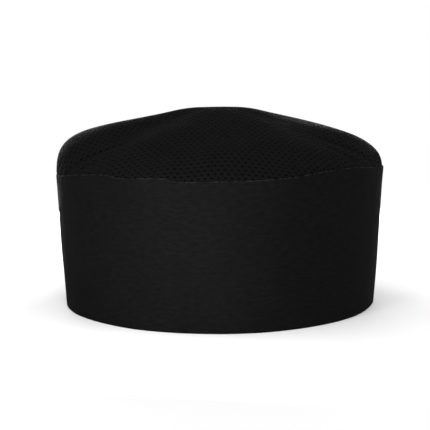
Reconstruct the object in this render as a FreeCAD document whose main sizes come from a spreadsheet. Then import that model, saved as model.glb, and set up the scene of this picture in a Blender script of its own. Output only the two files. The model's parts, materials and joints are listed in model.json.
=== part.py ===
import FreeCAD, Part
import os
from math import cos, pi, radians, sin, tan

import Sketcher
from FreeCAD import Placement, Rotation, Vector

# A ventilated chef's pillbox cap: a stiffened cloth band with a mesh crown sewn into its rim.
# The band is one strip round the head. At the back it steps outwards over its own under-end
# and goes on as a tab, which is held down by hook-and-loop tape and peels open.
# Frame: origin at the centre of the head opening in the plane of the hem, +Z up through the
# crown, the front at -Y and the closure at +Y. Millimetres, and azimuths in degrees from +X.

# ---- Driving dimensions --------------------------------------------------------------------

DIMENSIONS = {
    # the band's outer face, a slightly flared cone
    "band_height": 89,
    "hem_radius": 96,
    "rim_radius": 101,
    # the band's plies, counted inwards from its outer face
    "cloth": 0.45,
    "stiffener": 0.4,
    "mesh": 0.6,
    "ply_gap": 0.15,
    "thread_room": 0.3,
    "turn_in": 10,
    "edge_setback": 1.2,
    # the crown
    "crown_allowance": 8,
    "crown_rise": 32,
    "shoulder_radius": 15.4,
    "crown_slope": 13.5,
    # the trims inside the band
    "sweatband_height": 32,
    "sweatband_ply": 1.0,
    "binding_height": 12,
    "binding_ply": 0.4,
    # the closure, by azimuth
    "seam_root": 114,
    "under_tip": 106,
    "tab_root": 107,
    "tab_tip": 64,
    "hinge_clearance": 0.3,
    # the hook-and-loop tapes
    "loop_ply": 0.8,
    "hook_ply": 0.8,
    "closure_gap": 0.3,
    "loop_start": 59,
    "loop_end": 104,
    "loop_height": 62,
    "hook_start": 67,
    "hook_end": 99,
    "hook_height": 52,
    # sewing threads
    "thread": 0.3,
    "flat_thread": 0.2,
    "thread_lift": 0.05,
    "stitch_inset": 2.5,
    "seam_line": 4,
    "bartack_width": 2,
    "bartack_length": 10,
    # the care label
    "label_width": 30,
    "label_drop": 38,
    "label_ply": 0.3,
    "label_clearance": 0.6,
}

VOLUME_STEP = 0.01  # mm3: a feature that changes a body's volume by less has done nothing


class Size:
    """A size that knows both its value and the sheet expression that gives it."""

    def __init__(self, value, text):
        self.value = value
        self.text = text

    def combine(self, other, value, sign):
        return Size(value, f"({self.text} {sign} {other.text})")

    def __add__(self, other):
        other = sized(other)
        return self.combine(other, self.value + other.value, "+")

    def __sub__(self, other):
        other = sized(other)
        return self.combine(other, self.value - other.value, "-")

    def __mul__(self, other):
        other = sized(other)
        return self.combine(other, self.value * other.value, "*")

    def __truediv__(self, other):
        other = sized(other)
        return self.combine(other, self.value / other.value, "/")

    def __neg__(self):
        return ZERO - self


def sized(number):
    return number if isinstance(number, Size) else Size(float(number), f"{float(number)}")


def make_sheet(document):
    sheet = document.addObject("Spreadsheet::Sheet", "Sizes")
    for row, (alias, number) in enumerate(DIMENSIONS.items(), start=1):
        sheet.set(f"A{row}", alias)
        sheet.set(f"B{row}", str(number))
        sheet.setAlias(f"B{row}", alias)
    document.recompute()


doc = FreeCAD.newDocument("chef_cap")
make_sheet(doc)
sizes = {alias: Size(float(number), f"Sizes.{alias}") for alias, number in DIMENSIONS.items()}

ZERO = sized(0)
FULL_TURN = sized(360)
BACK = sized(90)

# ---- The band's cone, its plies and its heights --------------------------------------------

FLARE = (sizes["rim_radius"] - sizes["hem_radius"]) / sizes["band_height"]


def cone_radius(z, depth):
    """The radius at height z, depth inwards from the band's outer face."""
    return sizes["hem_radius"] + FLARE * z - depth


def azimuth_span(length):
    """The angle that a length takes up along the rim, in degrees."""
    return length / sizes["rim_radius"] * (180 / pi)


# depths at which the plies of the band begin
GAP = sizes["ply_gap"]
STIFFENER_AT = sizes["cloth"] + GAP
TURN_IN_AT = STIFFENER_AT + sizes["stiffener"] + GAP
SKIRT_AT = TURN_IN_AT + sizes["cloth"] + GAP
FACING_AT = SKIRT_AT + sizes["mesh"] + GAP
FACING_INSIDE = FACING_AT + sizes["cloth"]
TRIM_AT = FACING_INSIDE + sizes["thread_room"]

# depths in the closure, which are negative because it lies outside the band's face
LOOP_AT = -(GAP + sizes["loop_ply"])
HOOK_AT = LOOP_AT - sizes["closure_gap"] - sizes["hook_ply"]
TAB_FACING_INSIDE = HOOK_AT - GAP
TAB_FACE = TAB_FACING_INSIDE - sizes["cloth"] - SKIRT_AT
TAB_FACING_AT = TAB_FACE + SKIRT_AT

# heights
RIM = sizes["band_height"]
PLY_LOW = sizes["edge_setback"]
PLY_HIGH = RIM - sizes["edge_setback"]
MID = RIM / 2
SWEATBAND_TOP = PLY_LOW + sizes["sweatband_height"]
BINDING_FOOT = PLY_HIGH - sizes["binding_height"]

# the strip goes from the closure's step round the front to its own under-end
STRIP_START = sizes["seam_root"]
STRIP_END = sizes["under_tip"] + FULL_TURN

# ---- The hinge lines ------------------------------------------------------------------------


def slant_point(depth, azimuth, z):
    radius = cone_radius(z, depth).value
    angle = radians(azimuth.value)
    return Vector(radius * cos(angle), radius * sin(angle), z.value)


def print_hinge(joint, point, along):
    """Prints a point on a joint's axis, and the axis as a unit vector."""
    along.normalize()
    print(joint, [round(number, 4) for number in point], [round(number, 5) for number in along])


# ---- Sketch and feature helpers -------------------------------------------------------------


def origin_plane(body, role):
    return next(plane for plane in body.Origin.OriginFeatures if plane.Role == role)


def new_body(label):
    body = doc.addObject("PartDesign::Body", label)
    body.Label = label
    return body


def attach(sketch, body, role, offset):
    sketch.AttachmentSupport = [(origin_plane(body, role), "")]
    sketch.MapMode = "FlatFace"
    sketch.AttachmentOffset = offset


def new_section(body, azimuth):
    """A sketch in the half plane through the cap's axis at an azimuth: x is radius, y is height."""
    sketch = body.newObject("Sketcher::SketchObject", f"{body.Label}_section")
    attach(sketch, body, "XZ_Plane", Placement(Vector(), Rotation(Vector(0, 1, 0), azimuth.value)))
    sketch.setExpression("AttachmentOffset.Rotation.Angle", azimuth.text)
    return sketch


def new_plan(body, z):
    """A sketch in the level plane at height z."""
    sketch = body.newObject("Sketcher::SketchObject", f"{body.Label}_plan")
    attach(sketch, body, "XY_Plane", Placement(Vector(0, 0, z.value), Rotation()))
    sketch.setExpression("AttachmentOffset.Base.z", z.text)
    return sketch


def dimension(sketch, size, *reference):
    """Adds a dimension to the sketch and binds it to the sheet."""
    index = sketch.addConstraint(Sketcher.Constraint(*reference, size.value))
    sketch.setExpression(f"Constraints[{index}]", size.text)


def place_start(sketch, edge, x, y):
    """Dimensions an edge's start point from the sketch's origin."""
    dimension(sketch, x, "DistanceX", -1, 1, edge, 1)
    dimension(sketch, y, "DistanceY", -1, 1, edge, 1)


def draw_polygon(sketch, corners):
    """A closed outline of straight edges through corners, each a pair of sizes."""
    points = [Vector(x.value, y.value, 0) for x, y in corners]
    for start, end in zip(points, points[1:] + points[:1]):
        sketch.addGeometry(Part.LineSegment(start, end), False)
    for edge, (x, y) in enumerate(corners):
        following = (edge + 1) % len(corners)
        sketch.addConstraint(Sketcher.Constraint("Coincident", edge, 2, following, 1))
        place_start(sketch, edge, x, y)


def finish_feature(body, feature, sketch, adds=True):
    """Makes a feature the body's result, and checks that it changed the volume."""
    before = 0 if body.Shape.isNull() else body.Shape.Volume
    sketch.Visibility = False
    body.Tip = feature
    doc.recompute()
    change = body.Shape.Volume - before
    if (change if adds else -change) < VOLUME_STEP:
        raise RuntimeError(f"{feature.Name} did nothing to {body.Label}")


def revolve(body, sketch, sweep):
    """Turns a section anticlockwise about the cap's axis through a sweep."""
    turned = body.newObject("PartDesign::Revolution", f"{body.Label}_turned")
    turned.Profile = sketch
    turned.ReferenceAxis = (sketch, ["V_Axis"])
    turned.Angle = sweep.value
    turned.setExpression("Angle", sweep.text)
    finish_feature(body, turned, sketch)


def groove(body, sketch, sweep):
    """Cuts a section out of the body as it turns about the cap's axis."""
    cut = body.newObject("PartDesign::Groove", f"{body.Label}_cut")
    cut.Profile = sketch
    cut.ReferenceAxis = (sketch, ["V_Axis"])
    cut.Angle = sweep.value
    cut.setExpression("Angle", sweep.text)
    finish_feature(body, cut, sketch, adds=False)


def draw_ply(sketch, depth, thickness, low, high):
    """The section of one ply of the cone between two heights."""
    inside = depth + thickness
    outline = [(depth, low), (depth, high), (inside, high), (inside, low)]
    draw_polygon(sketch, [(cone_radius(z, at), z) for at, z in outline])


def add_ply(body, depth, thickness, low, high, start, end):
    sketch = new_section(body, start)
    draw_ply(sketch, depth, thickness, low, high)
    revolve(body, sketch, end - start)


def make_ply(label, depth, thickness, low, high, start, end):
    """A ply of cloth or tape lying on the band's cone between two azimuths."""
    body = new_body(label)
    add_ply(body, depth, thickness, low, high, start, end)
    return body


# ---- Cloth with folded edges ----------------------------------------------------------------


def make_folded_cloth(label, depth, start, end, closed_end):
    """Outer cloth on the cone, its top and bottom edges folded in over the stiffener.

    closed_end is start or end: that end is folded in too, and the other one is left open.
    """
    body = new_body(label)
    cloth = sizes["cloth"]
    wall = depth + cloth
    turn = depth + TURN_IN_AT
    inside = turn + cloth
    outline = [
        (depth, ZERO),
        (depth, RIM),
        (inside, RIM),
        (inside, RIM - sizes["turn_in"]),
        (turn, RIM - sizes["turn_in"]),
        (turn, RIM - cloth),
        (wall, RIM - cloth),
        (wall, cloth),
        (turn, cloth),
        (turn, sizes["turn_in"]),
        (inside, sizes["turn_in"]),
        (inside, ZERO),
    ]
    section = new_section(body, start)
    draw_polygon(section, [(cone_radius(z, at), z) for at, z in outline])
    revolve(body, section, end - start)
    edge = azimuth_span(cloth)
    flap = azimuth_span(sizes["turn_in"])
    if closed_end == "start":
        add_ply(body, depth, inside - depth, ZERO, RIM, start, start + edge)
        add_ply(body, turn, cloth, ZERO, RIM, start, start + flap)
    else:
        add_ply(body, depth, inside - depth, ZERO, RIM, end - edge, end)
        add_ply(body, turn, cloth, ZERO, RIM, end - flap, end)
    return body


# ---- The band -------------------------------------------------------------------------------


def polar(radius, azimuth):
    """The level x and y of a point at a radius and an azimuth."""
    angle = radians(azimuth.value)
    along = Size(cos(angle), f"cos({azimuth.text})")
    across = Size(sin(angle), f"sin({azimuth.text})")
    return radius * along, radius * across


def add_step(body, thickness, low, high, depth_from, depth_to):
    """The short run in which a ply steps outwards over the under-end, to the tab's root."""
    step_end = sizes["tab_root"] + azimuth_span(sizes["hinge_clearance"])
    plans = []
    for z in (low, high):
        plan = new_plan(body, z)
        corners = [
            (depth_from, STRIP_START),
            (depth_to, step_end),
            (depth_to + thickness, step_end),
            (depth_from + thickness, STRIP_START),
        ]
        draw_polygon(plan, [polar(cone_radius(z, depth), azimuth) for depth, azimuth in corners])
        plans.append(plan)
    step = body.newObject("PartDesign::AdditiveLoft", f"{body.Label}_step")
    step.Profile = plans[0]
    step.Sections = [plans[1]]
    step.Ruled = True
    plans[1].Visibility = False
    finish_feature(body, step, plans[0])


def make_band():
    """The strip round the head: outer cloth, stiffener and facing, each with its step."""
    outer = make_folded_cloth("outer_band", ZERO, STRIP_START, STRIP_END, "end")
    add_step(outer, sizes["cloth"], ZERO, RIM, ZERO, TAB_FACE)
    plies = [outer]
    for label, depth, thickness, step_to in (
        ("band_stiffener", STIFFENER_AT, sizes["stiffener"], TAB_FACE + STIFFENER_AT),
        ("band_facing", FACING_AT, sizes["cloth"], TAB_FACING_AT),
    ):
        end = STRIP_END - azimuth_span(sizes["edge_setback"])
        ply = make_ply(label, depth, thickness, PLY_LOW, PLY_HIGH, STRIP_START, end)
        add_step(ply, thickness, PLY_LOW, PLY_HIGH, depth, step_to)
        plies.append(ply)
    return plies


# ---- The crown ------------------------------------------------------------------------------

SKETCH_CENTRE = 3  # the Sketcher's number for an arc's centre point


def crown_points(ply_inset):
    """The joints of the crown's profile, ply_inset below its outer face.

    The profile is an upright skirt, a round shoulder, a straight slope and a round apex.
    """
    slope = radians(sizes["crown_slope"].value)
    shoulder_x = cone_radius(RIM, SKIRT_AT).value - sizes["shoulder_radius"].value
    turn = sizes["shoulder_radius"].value - ply_inset.value
    shoulder_end = Vector(shoulder_x + turn * sin(slope), RIM.value + turn * cos(slope), 0)
    shoulder_mid_angle = (pi / 2 - slope) / 2
    shoulder_mid = Vector(
        shoulder_x + turn * cos(shoulder_mid_angle), RIM.value + turn * sin(shoulder_mid_angle), 0
    )
    apex = Vector(0, (RIM + sizes["crown_rise"] - ply_inset).value, 0)
    peak_height = shoulder_end.y + shoulder_end.x * tan(slope)
    apex_radius = (peak_height - apex.y) / (1 / cos(slope) - 1)
    apex_centre = Vector(0, apex.y - apex_radius, 0)
    slope_end = apex_centre + Vector(apex_radius * sin(slope), apex_radius * cos(slope), 0)
    apex_mid = apex_centre + Vector(
        apex_radius * sin(slope / 2), apex_radius * cos(slope / 2), 0
    )
    return shoulder_mid, shoulder_end, slope_end, apex_mid, apex


def draw_crown_face(sketch, ply_inset):
    """One face of the crown, from the skirt's foot to the apex; returns its first edge."""
    foot = RIM - sizes["crown_allowance"]
    depth = SKIRT_AT + ply_inset
    foot_radius = cone_radius(foot, depth)
    rim_radius = cone_radius(RIM, depth)
    foot_point = Vector(foot_radius.value, foot.value, 0)
    rim_point = Vector(rim_radius.value, RIM.value, 0)
    shoulder_mid, shoulder_end, slope_end, apex_mid, apex = crown_points(ply_inset)
    skirt = sketch.GeometryCount
    sketch.addGeometry(Part.LineSegment(foot_point, rim_point), False)
    shoulder = sketch.GeometryCount
    sketch.addGeometry(Part.Arc(rim_point, shoulder_mid, shoulder_end), False)
    line = sketch.GeometryCount
    sketch.addGeometry(Part.LineSegment(shoulder_end, slope_end), False)
    tip = sketch.GeometryCount
    sketch.addGeometry(Part.Arc(slope_end, apex_mid, apex), False)
    place_start(sketch, skirt, foot_radius, foot)
    dimension(sketch, rim_radius, "DistanceX", -1, 1, skirt, 2)
    dimension(sketch, RIM, "DistanceY", -1, 1, skirt, 2)
    # an arc is stored anticlockwise, so both arcs start at their lower end
    sketch.addConstraint(Sketcher.Constraint("Coincident", skirt, 2, shoulder, 1))
    dimension(sketch, RIM, "DistanceY", -1, 1, shoulder, SKETCH_CENTRE)
    dimension(sketch, sizes["shoulder_radius"] - ply_inset, "Radius", shoulder)
    sketch.addConstraint(Sketcher.Constraint("Tangent", shoulder, 2, line, 1))
    sketch.addConstraint(Sketcher.Constraint("Tangent", line, 2, tip, 1))
    sketch.addConstraint(Sketcher.Constraint("PointOnObject", tip, SKETCH_CENTRE, -2))
    sketch.addConstraint(Sketcher.Constraint("PointOnObject", tip, 2, -2))
    crown_top = RIM + sizes["crown_rise"] - ply_inset
    dimension(sketch, crown_top, "DistanceY", -1, 1, tip, 2)
    slope_down = sized(180) - sizes["crown_slope"]
    index = sketch.addConstraint(Sketcher.Constraint("Angle", line, radians(slope_down.value)))
    sketch.setExpression(f"Constraints[{index}]", slope_down.text)
    return skirt, tip


def make_crown():
    """The mesh crown: one ply, sewn in by the skirt that stands inside the band's rim."""
    body = new_body("mesh_crown")
    sketch = new_section(body, BACK)
    outer_skirt, outer_tip = draw_crown_face(sketch, ZERO)
    inner_skirt, inner_tip = draw_crown_face(sketch, sizes["mesh"])
    for outer, inner, end in ((outer_skirt, inner_skirt, 1), (outer_tip, inner_tip, 2)):
        link = sketch.GeometryCount
        points = [sketch.getPoint(edge, end) for edge in (outer, inner)]
        sketch.addGeometry(Part.LineSegment(*points), False)
        sketch.addConstraint(Sketcher.Constraint("Coincident", link, 1, outer, end))
        sketch.addConstraint(Sketcher.Constraint("Coincident", link, 2, inner, end))
    revolve(body, sketch, FULL_TURN)
    return body


# ---- Sewing threads -------------------------------------------------------------------------


def make_thread_ring(label, depth, z, start, end):
    """One row of thread round the inside of the cone, a round thread with its centre at depth."""
    body = new_body(label)
    sketch = new_section(body, start)
    radius = cone_radius(z, depth)
    thread_radius = sizes["thread"] / 2
    centre = Vector(radius.value, z.value, 0)
    sketch.addGeometry(Part.Circle(centre, Vector(0, 0, 1), thread_radius.value), False)
    dimension(sketch, radius, "DistanceX", -1, 1, 0, SKETCH_CENTRE)
    dimension(sketch, z, "DistanceY", -1, 1, 0, SKETCH_CENTRE)
    dimension(sketch, thread_radius, "Radius", 0)
    revolve(body, sketch, end - start)
    return body


def make_thread_box(label, face, low, high, start, end):
    """A box of stitches on a face that looks outwards: a thin frame with its window cut out."""
    thickness = sizes["flat_thread"]
    depth = face - sizes["thread_lift"] - thickness
    body = make_ply(label, depth, thickness, low, high, start, end)
    width = sizes["thread"]
    span = azimuth_span(width)
    window = new_section(body, start + span)
    # the window is cut from above the frame's outer face to below its inner one
    draw_ply(window, depth - thickness, thickness * 3, low + width, high - width)
    groove(body, window, end - start - span * 2)
    return body


# ---- The trims inside the band --------------------------------------------------------------


def make_trims():
    """The sweatband at the hem and the binding over the crown seam, each with its two rows."""
    inset = sizes["stitch_inset"]
    above_face = sizes["thread_lift"] + sizes["thread"] / 2
    sweat_row = TRIM_AT + sizes["sweatband_ply"] + above_face
    binding_row = TRIM_AT + sizes["binding_ply"] + above_face
    strip = (STRIP_START, STRIP_END)
    # the binding runs on past the band's two ends, because the crown's edge does
    ring = (BACK, BACK + FULL_TURN)
    seam_z = RIM - sizes["seam_line"]
    seam_low = seam_z - sizes["thread"] / 2
    seam_high = seam_z + sizes["thread"] / 2
    seam_depth = FACING_INSIDE + sizes["thread_lift"]
    return [
        make_ply("sweatband", TRIM_AT, sizes["sweatband_ply"], PLY_LOW, SWEATBAND_TOP, *strip),
        make_thread_ring("sweatband_top_stitch", sweat_row, SWEATBAND_TOP - inset, *strip),
        make_thread_ring("sweatband_hem_stitch", sweat_row, PLY_LOW + inset, *strip),
        make_ply(
            "crown_seam_stitch", seam_depth, sizes["flat_thread"], seam_low, seam_high, *strip
        ),
        make_ply("crown_binding", TRIM_AT, sizes["binding_ply"], BINDING_FOOT, PLY_HIGH, *ring),
        make_thread_ring("binding_upper_stitch", binding_row, PLY_HIGH - inset, *ring),
        make_thread_ring("binding_lower_stitch", binding_row, BINDING_FOOT + inset, *ring),
    ]


# ---- The closure ----------------------------------------------------------------------------


def make_tab():
    """The tab's three plies, from its root at the step to its folded tip."""
    tip, root = sizes["tab_tip"], sizes["tab_root"]
    inner_tip = tip + azimuth_span(sizes["edge_setback"])
    outer = make_folded_cloth("tab_outer", TAB_FACE, tip, root, "start")
    ply = (PLY_LOW, PLY_HIGH, inner_tip, root)
    stiffener_at = TAB_FACE + STIFFENER_AT
    hinge_low = slant_point(TAB_FACE, root, ZERO)
    hinge_high = slant_point(TAB_FACE, root, RIM)
    print_hinge("tab_peel", (hinge_low + hinge_high) / 2, hinge_high - hinge_low)
    return [
        outer,
        make_ply("tab_stiffener", stiffener_at, sizes["stiffener"], *ply),
        make_ply("tab_facing", TAB_FACING_AT, sizes["cloth"], *ply),
    ]


def make_tapes():
    """The loop tape on the band's under-end and the hook tape on the tab, each sewn in a box."""
    inset = sizes["stitch_inset"]
    span = azimuth_span(inset)
    pieces = []
    for name, depth, thickness, stitched_face in (
        ("loop", LOOP_AT, sizes["loop_ply"], LOOP_AT),
        ("hook", HOOK_AT, sizes["hook_ply"], TAB_FACE),
    ):
        half = sizes[f"{name}_height"] / 2
        low, high = MID - half, MID + half
        start, end = sizes[f"{name}_start"], sizes[f"{name}_end"]
        pieces.append(make_ply(f"{name}_tape", depth, thickness, low, high, start, end))
        box = (low + inset, high - inset, start + span, end - span)
        pieces.append(make_thread_box(f"{name}_tape_stitch", stitched_face, *box))
    return pieces


def make_closure_threads():
    """The row along the tab's edge, the row that closes the under-end, and the two bar tacks."""
    inset = sizes["stitch_inset"]
    span = azimuth_span(inset)
    edge_box = (inset, RIM - inset, sizes["tab_tip"] + span, sizes["tab_root"] - span)
    thickness = sizes["flat_thread"]
    on_band = -(sizes["thread_lift"] + thickness)
    row_start = STRIP_END - azimuth_span(inset / 2)
    row_end = row_start + azimuth_span(sizes["thread"])
    tack_start = STRIP_START + span
    tack_end = tack_start + azimuth_span(sizes["bartack_width"])
    tack = sizes["bartack_length"]
    return [
        make_thread_box("tab_edge_stitch", TAB_FACE, *edge_box),
        make_ply("under_end_stitch", on_band, thickness, inset, RIM - inset, row_start, row_end),
        make_ply("bartack_lower", on_band, thickness, inset, inset + tack, tack_start, tack_end),
        make_ply(
            "bartack_upper", on_band, thickness, RIM - inset - tack, RIM - inset,
            tack_start, tack_end,
        ),
    ]


# ---- The care label -------------------------------------------------------------------------


def make_label():
    """A flat label that hangs from the binding's lower edge, inside the back.

    It lies along the wall's own slant, so far from it that its straight side edges clear the
    curved wall.
    """
    body = new_body("care_label")
    top = BINDING_FOOT - sizes["label_clearance"]
    half = sizes["label_width"] / 2
    sketch = new_section(body, BACK)
    foot = top - sizes["label_drop"]
    foot_wall = cone_radius(foot, FACING_INSIDE)
    bulge = foot_wall - Size(
        (foot_wall.value**2 - half.value**2) ** 0.5, f"sqrt({foot_wall.text}^2 - {half.text}^2)"
    )
    face = FACING_INSIDE + bulge + sizes["label_clearance"]
    draw_ply(sketch, face, sizes["label_ply"], foot, top)
    pad = body.newObject("PartDesign::Pad", "care_label_pad")
    pad.Profile = sketch
    pad.Midplane = True
    pad.Length = sizes["label_width"].value
    pad.setExpression("Length", sizes["label_width"].text)
    finish_feature(body, pad, sketch)
    print_hinge("label_flip", Vector(0, cone_radius(top, face).value, top.value), Vector(-1, 0, 0))
    return body


# ---- Build, check and write -----------------------------------------------------------------


def check_and_export(bodies):
    doc.recompute()
    for item in doc.Objects:
        if "Invalid" in item.State or "Error" in item.State:
            raise RuntimeError(f"{item.Name} is {item.State}")
    os.makedirs("parts", exist_ok=True)
    for body in bodies:
        shape = body.Shape
        if shape.isNull() or not shape.isValid() or len(shape.Solids) != 1:
            raise RuntimeError(f"{body.Label} is not one valid solid")
        shape.exportStep(f"parts/{body.Label}.step")


pieces = [*make_band(), make_crown(), *make_trims(), *make_tab(), *make_tapes()]
pieces += [*make_closure_threads(), make_label()]
check_and_export(pieces)
print(len(pieces), "pieces")
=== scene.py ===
import json
from math import atan2, degrees, pi, radians

import bpy
import numpy as np
from mathutils import Euler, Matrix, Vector


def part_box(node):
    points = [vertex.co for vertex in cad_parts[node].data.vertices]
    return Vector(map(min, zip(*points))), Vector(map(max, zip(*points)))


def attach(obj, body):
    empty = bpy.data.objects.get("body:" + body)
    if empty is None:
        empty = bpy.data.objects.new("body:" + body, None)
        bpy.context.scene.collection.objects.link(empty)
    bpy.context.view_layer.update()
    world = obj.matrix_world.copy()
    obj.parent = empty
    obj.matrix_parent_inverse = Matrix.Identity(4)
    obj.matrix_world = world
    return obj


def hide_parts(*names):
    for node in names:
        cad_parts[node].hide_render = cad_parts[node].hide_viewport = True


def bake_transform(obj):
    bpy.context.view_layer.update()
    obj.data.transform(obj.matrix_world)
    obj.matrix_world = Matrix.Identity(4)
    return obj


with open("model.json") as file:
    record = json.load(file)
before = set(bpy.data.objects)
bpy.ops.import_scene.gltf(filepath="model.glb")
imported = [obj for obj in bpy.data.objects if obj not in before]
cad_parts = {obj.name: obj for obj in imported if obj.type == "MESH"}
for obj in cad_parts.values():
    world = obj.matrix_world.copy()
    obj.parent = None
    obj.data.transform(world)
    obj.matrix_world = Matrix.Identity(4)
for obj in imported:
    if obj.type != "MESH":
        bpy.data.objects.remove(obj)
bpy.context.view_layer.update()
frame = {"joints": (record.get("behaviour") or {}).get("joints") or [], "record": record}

# A black chef's pillbox cap: a stiffened band with a net crown sewn into its rim, closed at the
# back by a tab with hook-and-loop tape. Metres, and azimuths in degrees from +X: the front is
# at 270, and the closure's overlap at the back runs from 64 to 114.
# Every cloth piece is placed by azimuth, height and depth below the band's outer face, and they
# all share one set of soft irregularities, so that the plies stay nested.

MM = 0.001

# ---- Sizes, from the frame and from the plies' order -----------

mounts = {mount["name"]: mount for mount in frame["record"]["mounts"]}
joints = {joint["name"]: joint for joint in frame["joints"]}

HEM_THICKNESS = 1.6 * MM
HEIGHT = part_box("outer_band")[1].z
RIM_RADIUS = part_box("outer_band")[1].x
HEM_RADIUS = -mounts["hem_rest"]["pos_m"][1] + HEM_THICKNESS / 2

CLOTH = 0.45 * MM
STIFFENER = 0.4 * MM
NET = 0.6 * MM
BINDING = 0.4 * MM
TERRY = 1.0 * MM
TAPE = 0.8 * MM
THREAD = 0.32 * MM

# depths of the plies below the band's outer face
OUTER_MID = CLOTH / 2
STIFFENER_AT = 0.6 * MM
TURN_MID = HEM_THICKNESS - CLOTH / 2
SKIRT_MID = 2.05 * MM
FACING_AT = 2.5 * MM
TRIM_AT = 3.25 * MM

# depths in the closure: on the tab they count from its own outer face
LOOP_AT = -0.95 * MM
TAB_FACING_AT = 1.75 * MM
HOOK_AT = 2.35 * MM

PLY_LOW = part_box("band_facing")[0].z
PLY_HIGH = HEIGHT - PLY_LOW
STITCH_INSET = 2.5 * MM

# azimuths of the closure
HINGE_POINT = Vector(joints["tab_peel"]["pos_m"])
HINGE_AZIMUTH = degrees(atan2(HINGE_POINT.y, HINGE_POINT.x))
SEAM_ROOT = 114.0
UNDER_TIP = 106.0 + 360
TAB_TIP = 64.0
LOOP_SPAN = (59.0 + 360, 104.0 + 360)
HOOK_SPAN = (67.0, 99.0)
STEP_OUT = HINGE_POINT.xy.length - (HEM_RADIUS + RIM_RADIUS) / 2


# ---- The band's surface ----------------------------------------


def smooth(t):
    t = np.clip(t, 0, 1)
    return t * t * (3 - 2 * t)


def arc_degrees(length):
    """The azimuth that a length takes up on the rim."""
    return np.degrees(length / RIM_RADIUS)


def wave(azimuth, turns, phase):
    return np.sin(np.radians(azimuth) * turns + phase)


def periodic(anchors, azimuth):
    """A smooth closed curve through (azimuth, value) anchors."""
    places = np.array([place for place, _ in anchors], float)
    values = np.array([value for _, value in anchors], float)
    places = np.concatenate([places[-1:] - 360, places, places[:2] + 360])
    values = np.concatenate([values[-1:], values, values[:2]])
    slopes = (values[2:] - values[:-2]) / (places[2:] - places[:-2])
    at = (np.asarray(azimuth, float) - places[1]) % 360 + places[1]
    span = np.clip(np.searchsorted(places, at, side="right") - 1, 1, len(places) - 3)
    width = places[span + 1] - places[span]
    t = (at - places[span]) / width
    ease = t * t * (3 - 2 * t)
    leave = t * (1 - t) ** 2 * width * slopes[span - 1]
    arrive = t * t * (t - 1) * width * slopes[span]
    return values[span] * (1 - ease) + values[span + 1] * ease + leave + arrive


# How far the rim stands off its level, in millimetres, by azimuth. From 199 to 341 the values
# follow a measured seam line, and the others are guesses.
RIM_SWAY = [
    (2, -5.2), (20, -4.4), (42, -1.6), (64, -0.2), (100, 0.2), (124, -0.8), (148, -4.2),
    (170, -7.4), (186, -8.0), (199, -6.4), (207, -4.7), (214, -3.1), (222, -1.6), (230, -0.6),
    (236, -1.7), (244, -1.1), (252, -0.6), (257, -2.2), (270, -1.9), (283, -1.6), (297, -0.6),
    (306, 0.6), (315, 1.0), (324, 0.4), (332, -1.0), (341, -2.9),
]


def rim_lift(azimuth):
    return periodic(RIM_SWAY, azimuth) * MM


def ripple(azimuth, rise):
    """Soft low swells of the stiffened cloth, at a rise from 0 at the hem to 1 at the rim."""
    slow = 0.42 * wave(azimuth, 3, 0.7) * rise + 0.3 * wave(azimuth, 5, 2.1) * (0.25 + rise)
    lean = 0.22 * np.sin(np.radians(azimuth) * 9 + 5.2 * rise + 1.1)
    fine = 0.09 * np.sin(np.radians(azimuth) * 23 - 7.5 * rise) * np.sin(rise * pi * 1.5 + 0.4)
    return (slow + lean + fine) * MM


def gathers(azimuth):
    """The uneven small waves that easing the crown leaves along the seam, from -1 to 1."""
    drift = 2.4 * wave(azimuth, 5, 0.3) + 1.7 * wave(azimuth, 11, 1.9)
    strength = 0.6 + 0.4 * wave(azimuth, 7, 2.6)
    return np.sin(np.radians(azimuth) * 74 + drift) * strength


ROOT_SEAM = 0.9 * MM     # how wide and deep the two edges of the root seam roll in
GATHERS_FROM = 0.86      # the rise from which the gathers show in the band
GATHERS_OUT = 0.16 * MM
GATHERS_UP = 0.1 * MM
GATHERS_APART = 1.2      # degrees between the outward and the upward waves


def band_point(azimuth, z, depth):
    """Points of the strip, from the azimuth, the height and the depth below its outer face.

    The ring runs from azimuth 114 up to 466; below 114 the strip steps out to be the tab.
    """
    azimuth, z, depth = np.broadcast_arrays(azimuth, z, depth)
    azimuth = azimuth.astype(float)
    rise = np.clip(z / HEIGHT, 0, 1.05)
    step = STEP_OUT * smooth((SEAM_ROOT - azimuth) / (SEAM_ROOT - HINGE_AZIMUTH))
    from_root = np.abs(np.radians(azimuth - SEAM_ROOT)) * RIM_RADIUS
    roll = ROOT_SEAM * (1 - np.sqrt(1 - np.clip(1 - from_root / ROOT_SEAM, 0, 1) ** 2))
    near_rim = smooth((rise - GATHERS_FROM) / (1 - GATHERS_FROM))
    radius = HEM_RADIUS + (RIM_RADIUS - HEM_RADIUS) * rise - depth + step - roll
    radius = radius + ripple(azimuth, rise) + GATHERS_OUT * gathers(azimuth) * near_rim
    waves = GATHERS_UP * gathers(azimuth + GATHERS_APART) * near_rim
    height = z + rim_lift(azimuth) * smooth(rise) + waves
    angle = np.radians(azimuth)
    return np.stack([radius * np.cos(angle), radius * np.sin(angle), height], axis=-1)


def outward(azimuth):
    angle = np.radians(np.asarray(azimuth, float))
    return np.stack([np.cos(angle), np.sin(angle), np.zeros_like(angle)], axis=-1)


def cloth_uv(azimuth, z):
    """Flat cloth coordinates in metres."""
    azimuth, z = np.broadcast_arrays(azimuth, z)
    return np.stack([np.radians(azimuth) * RIM_RADIUS, z], axis=-1)


# ---- Mesh helpers ----------------------------------------------


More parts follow.
